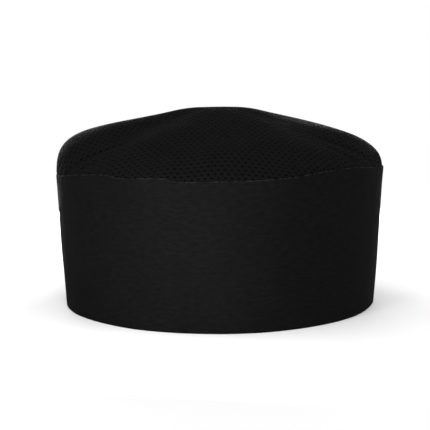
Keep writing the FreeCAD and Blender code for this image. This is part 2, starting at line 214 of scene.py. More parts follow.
def build(name, points, faces, uv):
    mesh = bpy.data.meshes.new(name)
    mesh.from_pydata(np.asarray(points).tolist(), [], [[int(i) for i in face] for face in faces])
    layer = mesh.uv_layers.new(name="cloth")
    corners = np.zeros(len(mesh.loops), np.int32)
    mesh.loops.foreach_get("vertex_index", corners)
    layer.data.foreach_set("uv", np.asarray(uv, np.float32)[corners].ravel())
    mesh.polygons.foreach_set("use_smooth", [True] * len(mesh.polygons))
    mesh.update()
    piece = bpy.data.objects.new(name, mesh)
    bpy.context.scene.collection.objects.link(piece)
    return piece


def thicken(piece, thickness):
    solid = piece.modifiers.new("ply", "SOLIDIFY")
    solid.thickness = thickness
    solid.offset = 0
    solid.use_even_offset = True
    graph = bpy.context.evaluated_depsgraph_get()
    mesh = bpy.data.meshes.new_from_object(piece.evaluated_get(graph))
    piece.modifiers.clear()
    piece.data = mesh
    return piece


def grid_faces(rows, columns, closed=False):
    """Quads of a grid stored row by row, closed round its columns or not."""
    row, column = np.meshgrid(
        np.arange(rows - 1), np.arange(columns if closed else columns - 1), indexing="ij"
    )
    beside = (column + 1) % columns
    corners = [row * columns + column, row * columns + beside]
    corners += [(row + 1) * columns + beside, (row + 1) * columns + column]
    return np.stack(corners, axis=-1).reshape(-1, 4).tolist()


# ---- Cloth with its edges folded in ----------------------------

FOLD = (TURN_MID - OUTER_MID) / 2
EDGE = FOLD + CLOTH / 2
TURN_IN = 10 * MM
CORNER = 3.5 * MM
FOLD_STEPS = 7
TURN_IN_STEPS = 4


def cloth_columns(length):
    """Distances from the tip's fold, close together round the corners and at the root."""
    corner = CORNER - EDGE
    round_corner = corner * (1 - np.cos(np.linspace(0, pi / 2, 8)))
    along = np.arange(corner * 1.5, length - EDGE - ROOT_SEAM * 2, 1.4 * MM)
    root = length - EDGE - ROOT_SEAM * np.array([1.0, 0.6, 0.3, 0.12, 0.0])
    return np.unique(np.concatenate([round_corner, along, root]))[::-1]


def cloth_border(rows, columns):
    """Places on the grid along the hem to the tip, up the tip and back along the rim."""
    hem = [(0, column) for column in range(columns)]
    end = [(row, columns - 1) for row in range(1, rows - 1)]
    rim = [(rows - 1, column) for column in range(columns - 1, -1, -1)]
    return np.array(hem + end + rim).T


def fold_rings(from_tip, height, out_along, out_up):
    """The border carried round its fold and in over the turned-in edge, ring by ring."""
    rings = []
    for turn in np.linspace(0, pi, FOLD_STEPS + 1)[1:]:
        reach = FOLD * np.sin(turn)
        depth = OUTER_MID + FOLD * (1 - np.cos(turn))
        rings.append((from_tip - out_along * reach, height + out_up * reach, depth))
    for inward in np.linspace(0, TURN_IN, TURN_IN_STEPS + 1)[1:]:
        mitred = np.where(from_tip < TURN_IN, np.maximum(from_tip, inward), from_tip)
        rings.append((mitred, np.clip(height, EDGE + inward, HEIGHT - EDGE - inward), TURN_MID))
    return rings


def folded_cloth(name, root, tip, rows=44):
    """Outer cloth from its root to its tip, its two long edges and its tip folded in."""
    toward = 1.0 if tip > root else -1.0
    corner = CORNER - EDGE
    to_edge = cloth_columns(np.radians(abs(tip - root)) * RIM_RADIUS)
    columns = len(to_edge)
    cut = np.clip(corner - to_edge, 0, None)
    inset = corner - np.sqrt(corner**2 - cut**2)
    low, high = EDGE + inset, HEIGHT - EDGE - inset
    share = np.linspace(0, 1, rows)[:, None]
    z = low * (1 - share) + high * share
    azimuth = np.broadcast_to(tip - toward * arc_degrees(to_edge + EDGE), z.shape)
    spots = [np.stack([azimuth.ravel(), z.ravel(), np.full(z.size, OUTER_MID)], axis=-1)]
    faces = grid_faces(rows, columns)

    border_row, border_column = cloth_border(rows, columns)
    from_tip = to_edge[border_column]
    height = z[border_row, border_column]
    out_along = np.clip((corner - from_tip) / corner, 0, 1)
    out_along[columns:columns + rows - 2] = 1.0
    out_up = np.where(height < HEIGHT / 2, -1.0, 1.0) * np.sqrt(1 - out_along**2)
    previous = border_row * columns + border_column
    first = z.size
    for along, up, depth in fold_rings(from_tip, height, out_along, out_up):
        at = tip - toward * arc_degrees(along + EDGE)
        spots.append(np.stack([at, up, np.full(len(at), depth)], axis=-1))
        ring = np.arange(first, first + len(at))
        faces += np.stack([previous[1:], previous[:-1], ring[:-1], ring[1:]], axis=-1).tolist()
        previous = ring
        first += len(at)
    spots = np.concatenate(spots)
    if toward < 0:
        faces = [face[::-1] for face in faces]
    points = band_point(spots[:, 0], spots[:, 1], spots[:, 2])
    return thicken(build(name, points, faces, cloth_uv(spots[:, 0], spots[:, 1])), CLOTH)


# ---- Plain plies: a rounded section swept round the band -------


def ply_section(low, high, depth, thickness, rows):
    """A closed section of (height, depth): up the outer face and down the inner one."""
    half = thickness / 2
    up = np.linspace(low + half, high - half, rows)
    turn = np.linspace(0, pi, 6)[1:-1]
    outer = np.stack([up, np.full(rows, depth)], axis=-1)
    top = np.stack([high - half + half * np.sin(turn), depth + half - half * np.cos(turn)], axis=-1)
    inner = np.stack([up[::-1], np.full(rows, depth + thickness)], axis=-1)
    foot = np.stack([low + half - half * np.sin(turn), depth + half + half * np.cos(turn)], axis=-1)
    return np.concatenate([outer, top, inner, foot])


def swept_ply(name, section, start, end, step=2.5 * MM, shift=None):
    """A ply of one section from azimuth start to end, closed if that is a full turn.

    shift(azimuth, z, depth) adds to the depth.
    """
    closed = abs(end - start) > 359.9
    columns = int(abs(end - start) / arc_degrees(step)) + 2
    azimuth = np.linspace(start, end, columns, endpoint=not closed)
    azimuth, z = np.broadcast_arrays(azimuth, section[:, :1])
    depth = np.broadcast_to(section[:, 1:], z.shape)
    if shift is not None:
        depth = depth + shift(azimuth, z, depth)
    points = band_point(azimuth, z, depth).reshape(-1, 3)
    rows = len(section)
    around = grid_faces(rows + 1, columns, closed)
    faces = [[index % (rows * columns) for index in face] for face in around]
    if not closed:
        rim = np.arange(rows) * columns
        faces += [rim.tolist(), (rim + columns - 1)[::-1].tolist()]
    if end < start:
        faces = [face[::-1] for face in faces]
    return build(name, points, faces, cloth_uv(azimuth, z).reshape(-1, 2))


# ---- The crown's surface ---------------------------------------

CROWN_CUT = 109 * MM      # the flat disc's radius up to the seam
SEAM_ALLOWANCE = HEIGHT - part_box("mesh_crown")[0].z
CROWN_REACH = CROWN_CUT + SEAM_ALLOWANCE
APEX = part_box("mesh_crown")[1].z - 1.5 * MM
LINE_TOP = APEX + 4.4 * MM     # where the slopes would meet on the axis without the round apex
APEX_SPAN = 30 * MM
APEX_HANDLE = 0.4          # how blunt the apex is: its handles' length as a share of its span
BEND_START = 0.62          # where the slope starts to bend, as a share of the way to the knee
SEAM_RISE = 0.4 * MM       # how far the crown rises at the seam for each mm that it bulges over
LEVEL_SEAM = 99            # the seam's radius in mm at which the crown doesn't bulge over
SKIRT_RADIUS = RIM_RADIUS - SKIRT_MID
TUCK_DROP = 1.9 * MM       # how far below the seam the net reaches its place inside the band
LIP_HANDLES = (0.8 * MM, 0.9 * MM)
LIP_STEPS = 8
FOOT_LEAN = 0.1 * MM

# The crown's meridian is a round apex, a straight slope and a shoulder, which bends at a knee
# towards the seam. In front and at the back the knee lies far in, so that a flatter face slants
# down to the seam between two soft ridges.
# azimuth, the knee's radius and the seam's radius in millimetres, slope, tightness of the bend
MERIDIANS = [
    (0, 98.5, 99.8, 0.248, 0.75), (30, 98.0, 99.9, 0.252, 0.72), (52, 88.0, 99.5, 0.268, 0.80),
    (72, 79.0, 99.2, 0.270, 0.80), (92, 76.5, 99.1, 0.272, 0.78), (112, 79.0, 99.2, 0.266, 0.80),
    (132, 88.0, 99.6, 0.252, 0.82), (154, 98.0, 100.1, 0.225, 0.84), (180, 100.0, 100.5, 0.213, 0.87),
    (193, 97.0, 100.1, 0.240, 0.86), (206, 88.5, 99.6, 0.298, 0.90), (219, 80.5, 99.2, 0.291, 0.90),
    (233, 77.0, 99.1, 0.273, 0.84), (270, 75.0, 99.0, 0.277, 0.76), (309, 77.0, 99.1, 0.278, 0.82),
    (322, 84.0, 99.3, 0.291, 0.88), (336, 91.0, 99.5, 0.284, 0.84), (348, 96.0, 99.7, 0.258, 0.78),
]
SHOULDER_STEPS = 90
APEX_STEPS = 24
CROWN_RINGS = 240
CROWN_SPOKES = 540


def bezier(a, b, c, d, steps):
    t = np.linspace(0, 1, steps)[:, None]
    return a * (1 - t) ** 3 + 3 * b * t * (1 - t) ** 2 + 3 * c * t**2 * (1 - t) + d * t**3


def meridian(azimuth):
    """Points of (radius, height) from the apex over the shoulder into the seam, and down inside."""
    knee_r, seam_r, slope, tight = (
        periodic([(entry[0], entry[index]) for entry in MERIDIANS], azimuth)
        for index in range(1, 5)
    )
    knee = np.array([knee_r * MM, LINE_TOP - slope * knee_r * MM])
    seam = np.array([seam_r * MM, HEIGHT + rim_lift(azimuth) + SEAM_RISE * (seam_r - LEVEL_SEAM)])
    slope_end = np.array([APEX_SPAN, LINE_TOP - slope * APEX_SPAN])
    bend_start = knee * BEND_START + np.array([0, LINE_TOP * (1 - BEND_START)])
    apex = bezier(
        np.array([0, APEX]), np.array([APEX_SPAN * APEX_HANDLE, APEX]),
        slope_end + np.array([-APEX_SPAN, slope * APEX_SPAN]) * APEX_HANDLE, slope_end,
        APEX_STEPS,
    )
    shoulder = bezier(
        bend_start, bend_start + (knee - bend_start) * tight, seam + (knee - seam) * tight, seam,
        SHOULDER_STEPS,
    )
    down = (seam - knee) / np.linalg.norm(seam - knee)
    tuck = np.array([SKIRT_RADIUS, seam[1] - TUCK_DROP])
    leave, arrive = LIP_HANDLES
    lip = bezier(seam, seam + down * leave, tuck + np.array([0, arrive]), tuck, LIP_STEPS)
    foot = tuck - np.array([FOOT_LEAN, SEAM_ALLOWANCE])
    return np.concatenate([apex, shoulder, lip[1:], [foot]])


def crown_table():
    """The crown's radii and heights on a grid of flat radius by azimuth."""
    flat = np.linspace(0, CROWN_REACH, CROWN_RINGS)
    table = np.zeros((CROWN_RINGS, CROWN_SPOKES, 2))
    for spoke in range(CROWN_SPOKES):
        line = meridian(360.0 * spoke / CROWN_SPOKES)
        run = np.concatenate([[0], np.cumsum(np.hypot(*np.diff(line, axis=0).T))])
        seam_run = run[APEX_STEPS + SHOULDER_STEPS - 1]
        at = np.where(flat < CROWN_CUT, flat * seam_run / CROWN_CUT, seam_run + flat - CROWN_CUT)
        table[:, spoke, 0] = np.interp(at, run, line[:, 0])
        table[:, spoke, 1] = np.interp(at, run, line[:, 1])
    return table


CROWN = crown_table()


# Small folds of the net at both ends of the crown: start and end on the flat disc, depth and
# half width, in millimetres.
CREASES = [
    ((-104, -46), (-58, -45), 1.3, 3.2), ((-94, -56), (-62, -64), 0.8, 3.0),
    ((101, -42), (60, -34), 0.9, 3.2), ((92, -58), (64, -50), 0.7, 3.0),
]
# shares of its run over which a crease grows, and by which it runs on and dies away
CREASE_GROWS = 0.3
CREASE_ENDS = 1.3
CREASE_FADES = 0.6
PUCKER = 0.42 * MM         # how far the gathers at the seam move the net
PUCKER_OUT = 0.8           # the shares of a pucker that go outward and up
PUCKER_UP = 0.4
CREASE_IN = 0.4            # the share of a crease that goes inward
NEAR_SEAM = 0.8            # the share of the disc's radius from which the gathers show
SWELL_FROM_APEX = 30 * MM
SWELL_TO_SEAM = 20 * MM


def crease_depth(x, y):
    depth = np.zeros_like(x)
    for start, end, deep, wide in CREASES:
        start, end = np.array(start) * MM, np.array(end) * MM
        run = np.linalg.norm(end - start)
        way = (end - start) / run
        along = ((x - start[0]) * way[0] + (y - start[1]) * way[1]) / run
        aside = (x - start[0]) * way[1] - (y - start[1]) * way[0]
        ends = smooth(along / CREASE_GROWS) * smooth((CREASE_ENDS - along) / CREASE_FADES)
        depth += deep * MM * np.exp(-(aside / (wide * MM)) ** 2) * ends
    return depth


def crown_swell(x, y, flat):
    """Broad low waves of the net, which leave the apex and the seam in place."""
    swell = 0.5 * np.sin(x / MM * 0.09 + 1.0) * np.cos(y / MM * 0.075 + 0.4)
    swell += 0.3 * np.sin(x / MM * 0.05 - y / MM * 0.14 + 2.0)
    from_apex = smooth(flat / SWELL_FROM_APEX)
    return swell * (MM * from_apex * smooth((CROWN_CUT - flat) / SWELL_TO_SEAM))


def crown_point(x, y):
    """Where the point (x, y) of the flat crown disc lies on the finished crown."""
    flat = np.hypot(x, y)
    azimuth = np.degrees(np.arctan2(y, x)) % 360
    ring = np.clip(flat / CROWN_REACH, 0, 1) * (CROWN_RINGS - 1)
    spoke = azimuth / 360 * CROWN_SPOKES
    low_ring = np.minimum(ring.astype(int), CROWN_RINGS - 2)
    low_spoke = spoke.astype(int) % CROWN_SPOKES
    next_spoke = (low_spoke + 1) % CROWN_SPOKES
    u = (ring - low_ring)[:, None]
    v = (spoke - np.floor(spoke))[:, None]
    inner = CROWN[low_ring, low_spoke] * (1 - v) + CROWN[low_ring, next_spoke] * v
    outer = CROWN[low_ring + 1, low_spoke] * (1 - v) + CROWN[low_ring + 1, next_spoke] * v
    radius, height = (inner * (1 - u) + outer * u).T
    near_seam = smooth((flat / CROWN_CUT - NEAR_SEAM) / (1 - NEAR_SEAM))
    sewn = smooth((CROWN_CUT + 1.5 * MM - flat) / (2.5 * MM))
    pucker = PUCKER * gathers(azimuth) * near_seam**2 * sewn
    crease = crease_depth(x, y) * sewn
    band_ripple = ripple(azimuth, np.clip(height / HEIGHT, 0, 1)) * near_seam
    radius = radius + pucker * PUCKER_OUT + band_ripple - crease * CREASE_IN
    height = height + crown_swell(x, y, flat) + pucker * PUCKER_UP - crease
    angle = np.radians(azimuth)
    return np.stack([radius * np.cos(angle), radius * np.sin(angle), height], axis=-1)


def crown_normal(x, y):
    reach = 0.6 * MM
    along = crown_point(x + reach, y) - crown_point(x - reach, y)
    across = crown_point(x, y + reach) - crown_point(x, y - reach)
    normal = np.cross(along, across)
    return normal / np.linalg.norm(normal, axis=1)[:, None]


# ---- The crown's net -------------------------------------------

HOLE_PITCH = 4.1 * MM
ROW_PITCH = HOLE_PITCH * 3**0.5 / 2
HOLE_RADIUS = 0.72 * MM
NET_LOFT = 0.4 * MM        # how much thicker the open net is than where it is sewn in
NET_LOFT_SPAN = 8 * MM


def net_cells():
    """Hexagonal cells on the flat disc: their corners, shared, and their holes' points."""
    rows = int(CROWN_REACH / ROW_PITCH) + 1
    across = int(CROWN_REACH / HOLE_PITCH) + 1
    centres = np.array([
        ((i + 0.5 * (j % 2)) * HOLE_PITCH, j * ROW_PITCH)
        for j in range(-rows, rows + 1) for i in range(-across, across + 1)
    ])
    corner_radius = HOLE_PITCH / 3**0.5
    centres = centres[np.hypot(*centres.T) < CROWN_REACH - corner_radius]
    six = pi / 6 + np.arange(6) * pi / 3
    twelve = pi / 6 + np.arange(12) * pi / 6
    corners = centres[:, None] + corner_radius * np.stack([np.cos(six), np.sin(six)], axis=-1)
    holes = centres[:, None] + HOLE_RADIUS * np.stack([np.cos(twelve), np.sin(twelve)], axis=-1)
    corners = corners.reshape(-1, 2)
    grid = np.round(corners / (0.01 * MM)).astype(np.int64)
    _, first, index = np.unique(grid, axis=0, return_index=True, return_inverse=True)
    return corners[first], index.reshape(-1, 6), holes.reshape(-1, 2)


def knit_crown():
    """The knitted net, with real holes, from the apex to its allowance inside the rim."""
    corners, cells, holes = net_cells()
    used = np.bincount(cells.ravel(), minlength=len(corners))
    reach = np.hypot(*corners.T)
    on_edge = (used < 3) & (reach > CROWN_REACH - HOLE_PITCH)
    corners[on_edge] *= (CROWN_REACH / reach[on_edge])[:, None]
    spots = np.concatenate([corners, holes])
    count = len(spots)
    middle = crown_point(*spots.T)
    loft = NET_LOFT * smooth((CROWN_CUT - np.hypot(*spots.T)) / NET_LOFT_SPAN)
    lift = crown_normal(*spots.T) * (NET + loft)[:, None] / 2
    side = np.arange(6)
    here, beside = cells, cells[:, (side + 1) % 6]
    first_hole = len(corners) + np.arange(len(cells))[:, None] * 12
    rim = [first_hole + (side * 2 + turn) % 12 for turn in range(3)]
    top = [
        np.stack([here, beside, rim[1]], axis=-1),
        np.stack([here, rim[1], rim[0]], axis=-1),
        np.stack([beside, rim[2], rim[1]], axis=-1),
    ]
    top = np.concatenate([faces.reshape(-1, 3) for faces in top])
    under = top[:, ::-1] + count
    walls = np.concatenate([
        np.stack([rim[turn], rim[turn + 1], rim[turn + 1] + count, rim[turn] + count], axis=-1)
        for turn in range(2)
    ]).reshape(-1, 4)
    sides = np.stack([here, beside], axis=-1).reshape(-1, 2)
    shared = {(b, a) for a, b in sides.tolist()}
    hem = [(b, a, a + count, b + count) for a, b in sides.tolist() if (a, b) not in shared]
    faces = top.tolist() + under.tolist() + walls.tolist() + hem
    return build(
        "crown_net", np.concatenate([middle + lift, middle - lift]), faces,
        np.concatenate([spots, spots]),
    )


# ---- Threads ---------------------------------------------------

STITCH = 2.7 * MM
STITCH_PITCH = 3.3 * MM
STITCH_STATIONS = 7
SUNK = 0.22 * MM          # how far a stitch's ends go into the cloth
ABOVE = THREAD * 0.3      # how far a stitch's middle stands off the cloth
STITCH_ENDS = 0.62        # a stitch's thickness at its ends, as a share of its middle's
STITCH_FLAT = 0.8         # its height as a share of its width
STITCH_BOW = 0.6          # below 1, a stitch rises steeply at its ends and is flat between
ROW_INSET = 0.6           # degrees between a row's ends and the strip's
TACK_STITCHES = 30
TACK_WIDTH = 2.0 * MM
TACK_LEAN = 0.12 * MM
TACK_THREAD = 0.37 * MM


def threads(name, lines, ups, thickness=THREAD, sides=6, sunk=SUNK):
    """Short lengths of thread, each arched along its own line of points, as one piece."""
    lines, ups = np.asarray(lines), np.asarray(ups)
    count, stations = lines.shape[:2]
    t = np.linspace(0, 1, stations)
    bow = np.sin(pi * t) ** STITCH_BOW
    centre = lines + ups * ((bow - 1) * sunk)[None, :, None]
    tangent = np.gradient(centre, axis=1)
    tangent /= np.linalg.norm(tangent, axis=2)[:, :, None]
    side = np.cross(ups, tangent)
    side /= np.linalg.norm(side, axis=2)[:, :, None]
    up = np.cross(tangent, side)
    turn = np.arange(sides) * 2 * pi / sides
    radius = thickness / 2 * (STITCH_ENDS + (1 - STITCH_ENDS) * bow)[None, :, None, None]
    ring = side[:, :, None] * np.cos(turn)[:, None]
    ring = ring + up[:, :, None] * np.sin(turn)[:, None] * STITCH_FLAT
    points = centre[:, :, None] + ring * radius
    tube = np.array(grid_faces(stations, sides, closed=True))
    first = np.arange(count)[:, None] * stations * sides
    end = np.arange(sides)
    faces = (tube[None] + first[:, None]).reshape(-1, 4).tolist()
    faces += (first + end[::-1]).tolist()
    faces += (first + (stations - 1) * sides + end).tolist()
    run = np.linalg.norm(lines[:, -1] - lines[:, 0], axis=1)
    along = (np.arange(count)[:, None] * STITCH_PITCH + t[None] * run[:, None])[:, :, None]
    around = (turn * thickness / 2)[None, None]
    along, around = np.broadcast_arrays(along, around)
    return build(name, points.reshape(-1, 3), faces, np.stack([along, around], -1).reshape(-1, 2))


def stitch_lines(line, up):
    """Cuts a row, given by points and the directions out of the cloth, into its stitches."""
    run = np.concatenate([[0], np.cumsum(np.linalg.norm(np.diff(line, axis=0), axis=1))])
    count = max(1, int(round(run[-1] / STITCH_PITCH)))
    first = np.arange(count) * run[-1] / count
    at = first[:, None] + np.linspace(0, STITCH, STITCH_STATIONS)[None]
    at = np.minimum(at, run[-1])
    lines = np.stack([np.interp(at, run, line[:, axis]) for axis in range(3)], axis=-1)
    ups = np.stack([np.interp(at, run, up[:, axis]) for axis in range(3)], axis=-1)
    return lines, ups


def band_line(places, depth, facing):
    """A row on the band through (azimuth, z) places, on its outer (1) or inner (-1) side."""
    places = np.array(places, float)
    azimuth, z = [], []
    for (a, low), (b, high) in zip(places[:-1], places[1:]):
        steps = max(2, int(max(abs(b - a), abs(high - low) / MM / 1.5)))
        azimuth.append(np.linspace(a, b, steps))
        z.append(np.linspace(low, high, steps))
    azimuth, z = np.concatenate(azimuth), np.concatenate(z)
    return band_point(azimuth, z, depth), outward(azimuth) * facing


def stitch_rows(name, rows, depth, facing):
    """Rows of stitches through lists of (azimuth, z) places, as one piece."""
    lines, ups = zip(*(stitch_lines(*band_line(row, depth, facing)) for row in rows))
    return threads(name, np.concatenate(lines), np.concatenate(ups))


def box_rows(low, high, start, end):
    """The four sides of a sewn box, each a row of its own."""
    corners = [(start, low), (end, low), (end, high), (start, high), (start, low)]
    return [[a, b] for a, b in zip(corners[:-1], corners[1:])]


def node_middle(node):
    low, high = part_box(node)
    return (low.z + high.z) / 2


def make_inner_rows():
    """The rows that sew the sweatband, the binding and the crown inside the band."""
    turn = 360.0
    inside = {
        "sweatband_top": (TRIM_AT + TERRY, UNDER_TIP),
        "sweatband_hem": (TRIM_AT + TERRY, UNDER_TIP),
        "crown_seam": (FACING_AT + CLOTH, UNDER_TIP),
        "binding_upper": (TRIM_AT + BINDING, SEAM_ROOT + turn),
        "binding_lower": (TRIM_AT + BINDING, SEAM_ROOT + turn),
    }
    for row, (depth, end) in inside.items():
        node = f"{row}_stitch"
        z = node_middle(node)
        line = [(SEAM_ROOT + ROW_INSET, z), (end - ROW_INSET, z)]
        add_piece(stitch_rows(f"{row}_threads", [line], depth + ABOVE, -1), "thread", node)


def tape_box(tape, span, inset):
    """The box of stitches inside a tape's edges."""
    low, high = node_heights(tape)
    return box_rows(low + STITCH_INSET, high - STITCH_INSET, span[0] + inset, span[1] - inset)


def make_closure_rows():
    """The rows that show outside the band: on the tab, round the loop tape and at its end."""
    inset = arc_degrees(STITCH_INSET)
    rim = HEIGHT - STITCH_INSET
    last = UNDER_TIP - inset / 2
    tab_box = box_rows(STITCH_INSET, rim, TAB_TIP + inset, HINGE_AZIMUTH - inset)
    rows = {
        "tab_edge": (tab_box, 0, "tab"),
        "hook_tape": (tape_box("hook_tape", HOOK_SPAN, inset), 0, "closure_tab"),
        "loop_tape": (tape_box("loop_tape", LOOP_SPAN, inset), LOOP_AT, "hat"),
        "under_end": ([[(last, STITCH_INSET), (last, rim)]], 0, "hat"),
    }
    for row, (lines, depth, body) in rows.items():
        threads_piece = stitch_rows(f"{row}_threads", lines, depth - ABOVE, 1)
        add_piece(threads_piece, "thread", f"{row}_stitch", body=body)


def make_bartacks():
    """Dense bars of crosswise threads on the band, beside the root seam."""
    start = SEAM_ROOT + arc_degrees(STITCH_INSET)
    azimuth = np.linspace(start, start + arc_degrees(TACK_WIDTH), STITCH_STATIONS)
    for end in ("lower", "upper"):
        low, high = node_heights(f"bartack_{end}")
        lines = []
        for index, z in enumerate(np.linspace(low, high, TACK_STITCHES)):
            lean = TACK_LEAN * (-1) ** index
            heights = np.linspace(z - lean, z + lean, STITCH_STATIONS)
            lines.append(band_point(azimuth, heights, -ABOVE))
        ups = [outward(azimuth)] * TACK_STITCHES
        add_piece(
            threads(f"bartack_{end}_threads", lines, ups, TACK_THREAD), "thread",
            f"bartack_{end}",
        )


# ---- Plies, trims and the crown --------------------------------

STRIP_LENGTH = radians(UNDER_TIP - SEAM_ROOT) * (HEM_RADIUS + RIM_RADIUS) / 2
TAB_LENGTH = radians(SEAM_ROOT - TAB_TIP) * RIM_RADIUS
INNER_TIP = arc_degrees(PLY_LOW)      # how far the inner plies end short of a folded tip


def make_outer_cloth():
    strips = [
        ("band_cloth", UNDER_TIP, STRIP_LENGTH, "outer_band", "hat"),
        ("tab_cloth", TAB_TIP, TAB_LENGTH, "tab_outer", "tab"),
    ]
    for name, tip, length, node, body in strips:
        strip = add_piece(folded_cloth(name, SEAM_ROOT, tip), "band_cloth", node, body=body)


def facing_shift(azimuth, z, depth):
    """The tab's facing lies closer to its outer cloth, because no crown is sewn in between."""
    return (TAB_FACING_AT - FACING_AT) * smooth((SEAM_ROOT - azimuth) / (SEAM_ROOT - HINGE_AZIMUTH))


def make_plies():
    """The stiffener and the facing, along the ring and along the tab."""
    stiffener = ply_section(PLY_LOW, PLY_HIGH, STIFFENER_AT, STIFFENER, 24)
    facing = ply_section(PLY_LOW, PLY_HIGH, FACING_AT, CLOTH, 30)
    ring = (SEAM_ROOT, UNDER_TIP - INNER_TIP)
    tab = (SEAM_ROOT, TAB_TIP + INNER_TIP)
    plies = [
        (swept_ply("band_stiffening", stiffener, *ring), "stiffener", "band_stiffener", "hat"),
        (swept_ply("tab_stiffening", stiffener, *tab), "stiffener", "tab_stiffener", "tab"),
        (swept_ply("band_lining", facing, *ring), "band_cloth", "band_facing", "hat"),
        (
            swept_ply("tab_lining", facing, *tab, shift=facing_shift), "band_cloth",
            "tab_facing", "tab",
        ),
    ]
    for piece, slot, node, body in plies:
        add_piece(piece, slot, node, body=body)


def make_crown():
    crown = add_piece(knit_crown(), "crown_mesh", "mesh_crown")


def make_binding():
    low, high = node_heights("crown_binding")
    section = ply_section(low, high, TRIM_AT, BINDING, 9)
    tape = swept_ply("binding_tape", section, SEAM_ROOT, SEAM_ROOT + 360, 1.6 * MM)
    add_piece(tape, "binding_tape", "crown_binding")


TUFT = 0.14 * MM           # how far the terry's tufts stand off its face, either way
PRESSED = 0.25 * MM        # how deep a row of stitches presses it, and how far to each side
PRESSED_WIDTH = 1.1 * MM


def terry_shift(azimuth, z, depth):
    """The looped face of the terry, which stands in small uneven tufts inside the band."""
    tufts = np.random.default_rng(11).normal(0, TUFT, z.shape)
    pressed = sum(
        np.exp(-((z - node_middle(f"sweatband_{row}_stitch")) / PRESSED_WIDTH) ** 2)
        for row in ("top", "hem")
    )
    inside = depth > TRIM_AT + TERRY / 2
    return np.where(inside, tufts * (1 - pressed) - PRESSED * pressed, 0)


def make_sweatband():
    low, high = node_heights("sweatband")
    section = ply_section(low, high, TRIM_AT, TERRY, 36)
    band = swept_ply(
        "sweatband_cloth", section, SEAM_ROOT, UNDER_TIP - INNER_TIP, 0.95 * MM, terry_shift
    )
    add_piece(band, "sweatband_terry", "sweatband")


# ---- The hook-and-loop tapes -----------------------------------

TAPE_BASE = 0.35 * MM
TAPE_EDGE = 1.2 * MM
LOOP_PITCH = 1.15 * MM
LOOP_REACH = LOOP_PITCH * 0.8
LOOP_THREAD = 0.12 * MM
LOOP_COURSE = [(-0.5, 0.0), (-0.55, 0.5), (-0.25, 0.95), (0.25, 0.95), (0.55, 0.5), (0.5, 0.0)]
HOOK_PITCH = 1.5 * MM
HOOK_REACH = HOOK_PITCH * 0.35
HOOK_THREAD = 0.2 * MM
HOOK_COURSE = [(0.0, 0.0), (0.03, 0.45), (0.12, 0.8), (0.45, 1.0), (0.85, 0.85), (1.0, 0.5)]
FIBRE_SUNK = 0.05 * MM
FIBRE_STRAY = 0.2          # how far a fibre is off its place, as a share of the pitch
SMALLEST_FIBRE = 0.75


def fibres(name, span, heights, pitch, course, height, reach, base, facing, thickness, sides):
    """Small bent threads in rows over a tape, each a little off its place and its size.

    course gives a fibre's way as (share of its reach, share of its height).
    """
    draw = np.random.default_rng(5)
    margin = arc_degrees(TAPE_EDGE)
    azimuth, z = np.meshgrid(
        np.arange(span[0] + margin, span[1] - margin, arc_degrees(pitch)),
        np.arange(heights[0] + TAPE_EDGE, heights[1] - TAPE_EDGE, pitch), indexing="ij",
    )
    azimuth = azimuth + draw.uniform(-FIBRE_STRAY, FIBRE_STRAY, azimuth.shape) * arc_degrees(pitch)
    azimuth = azimuth.reshape(-1, 1)
    z = (z + draw.uniform(-FIBRE_STRAY, FIBRE_STRAY, z.shape) * pitch).reshape(-1, 1)
    along, rise = np.array(course).T
    angle = draw.uniform(0, 2 * pi, azimuth.shape)
    size = draw.uniform(SMALLEST_FIBRE, 1.0, azimuth.shape)
    offset = along * reach * size
    azimuth = azimuth + arc_degrees(offset * np.cos(angle))
    lines = band_point(azimuth, z + offset * np.sin(angle), base - facing * rise * height * size)
    return threads(name, lines, outward(azimuth) * facing, thickness, sides, FIBRE_SUNK)


def make_tapes():
    """The loop tape on the under-end's outer face, and the hook tape inside the tab."""
    loop_heights, hook_heights = node_heights("loop_tape"), node_heights("hook_tape")
    pile_at = LOOP_AT + TAPE - TAPE_BASE
    tapes = [
        ("loop_tape", LOOP_SPAN, loop_heights, pile_at, "hat"),
        ("hook_tape", HOOK_SPAN, hook_heights, HOOK_AT, "closure_tab"),
    ]
    for name, span, heights, depth, body in tapes:
        section = ply_section(*heights, depth, TAPE_BASE, 16)
        base = add_piece(swept_ply(f"{name}_base", section, *span), name, name, body=body)
    pile = fibres(
        "loop_tape_pile", LOOP_SPAN, loop_heights, LOOP_PITCH, LOOP_COURSE, TAPE - TAPE_BASE,
        LOOP_REACH, pile_at, 1, LOOP_THREAD, sides=3,
    )
    add_piece(pile, "loop_tape", "loop_tape")
    hooks = fibres(
        "hook_tape_hooks", HOOK_SPAN, hook_heights, HOOK_PITCH, HOOK_COURSE,
        TAPE - TAPE_BASE, HOOK_REACH, HOOK_AT + TAPE_BASE, -1, HOOK_THREAD, sides=4,
    )
    add_piece(hooks, "hook_tape", "hook_tape", body="closure_tab")


# ---- The care label --------------------------------------------

SATIN = 0.13 * MM
LABEL_FOLD = 0.14 * MM     # the radius of the fold at its foot


